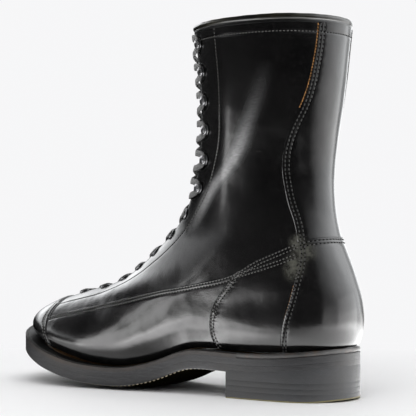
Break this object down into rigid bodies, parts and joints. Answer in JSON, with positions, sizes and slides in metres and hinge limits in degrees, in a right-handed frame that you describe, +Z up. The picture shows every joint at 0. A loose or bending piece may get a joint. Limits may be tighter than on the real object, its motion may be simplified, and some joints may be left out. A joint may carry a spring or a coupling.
{
  "type": "lace-up boot",
  "caption": "Tall lace-to-toe leather boot for the left foot, with speed hooks, a swinging tongue, a flexing ankle, a welted leather sole and a stacked heel.",
  "frame": {"origin": "middle of the heel tread, on the ground", "axes": "toe towards -Y, lateral (outer) side towards +X, +Z up"},
  "size_m": [0.1068, 0.3073, 0.2717],
  "materials": {
    "upper_leather": "polished smooth black full-grain leather, sharp soft-box reflections",
    "tongue_leather": "supple black leather, slightly duller",
    "binding_leather": "rolled black-grey calf binding, satin",
    "lining_leather": "natural tan lining leather, matt",
    "leatherboard": "pressed leather board, raw",
    "cork": "ground cork filler",
    "lace_cord": "flat woven waxed black lace",
    "black_enamel": "black enamelled brass with worn bright rims",
    "welt_leather": "black-dyed welt leather with brown cut edge",
    "sole_edge": "grey-black painted and burnished leather edge, fine horizontal streaks",
    "sole_tread": "dark olive-brown leather tread, waxed lock stitches",
    "top_lift": "leather top lift with an olive-tan cut edge",
    "shank_steel": "plain spring steel shank"
  },
  "bodies": {
    "foot": {"toe_cap": "upper_leather", "vamp_lateral": "upper_leather", "vamp_medial": "upper_leather", "foxing_lateral": "upper_leather", "foxing_medial": "upper_leather", "heel_counter_cover": "upper_leather", "tongue_gusset": "tongue_leather", "foot_lining": "lining_leather", "sock_liner": "lining_leather", "toe_stiffener": "leatherboard", "counter_stiffener": "leatherboard", "insole": "leatherboard", "cork_filler": "cork", "shank": "shank_steel", "welt": "welt_leather", "heel_rand": "welt_leather", "midsole": "sole_edge", "outsole": "sole_tread", "heel_lift_1": "sole_edge", "heel_lift_2": "sole_edge", "heel_wedge": "sole_edge", "top_lift": "top_lift", "eyelet_lateral_2": "black_enamel", "eyelet_medial_2": "black_enamel", "eyelet_lateral_3": "black_enamel", "eyelet_medial_3": "black_enamel", "eyelet_lateral_4": "black_enamel", "eyelet_medial_4": "black_enamel", "eyelet_lateral_5": "black_enamel", "eyelet_medial_5": "black_enamel", "eyelet_lateral_6": "black_enamel", "eyelet_medial_6": "black_enamel", "eyelet_lateral_7": "black_enamel", "eyelet_medial_7": "black_enamel"},
    "shaft": {"shaft_lining": "lining_leather", "backstay": "upper_leather", "quarter_lateral": "upper_leather", "quarter_medial": "upper_leather", "facing_lateral": "upper_leather", "facing_medial": "upper_leather", "collar_binding": "binding_leather", "lace": "lace_cord", "speed_hook_lateral_1": "black_enamel", "speed_hook_medial_1": "black_enamel", "speed_hook_lateral_2": "black_enamel", "speed_hook_medial_2": "black_enamel", "speed_hook_lateral_3": "black_enamel", "speed_hook_medial_3": "black_enamel", "speed_hook_lateral_4": "black_enamel", "speed_hook_medial_4": "black_enamel", "speed_hook_lateral_5": "black_enamel", "speed_hook_medial_5": "black_enamel", "speed_hook_lateral_6": "black_enamel", "speed_hook_medial_6": "black_enamel", "eyelet_lateral_1": "black_enamel", "eyelet_medial_1": "black_enamel"},
    "tongue": {"tongue": "tongue_leather"}
  },
  "joints": [
    {"name": "ankle_flex", "type": "hinge", "parent": "foot", "child": "shaft", "pos_m": [0, -0.06, 0.105], "axis": [1, 0, 0], "range_deg": [-6, 12], "deforming": ["quarter_lateral", "quarter_medial", "facing_lateral", "facing_medial", "backstay", "tongue_gusset", "lace"]},
    {"name": "tongue_swing", "type": "hinge", "parent": "shaft", "child": "tongue", "pos_m": [0, -0.088, 0.15], "axis": [-1, 0, 0], "range_deg": [0, 18]}
  ]
}
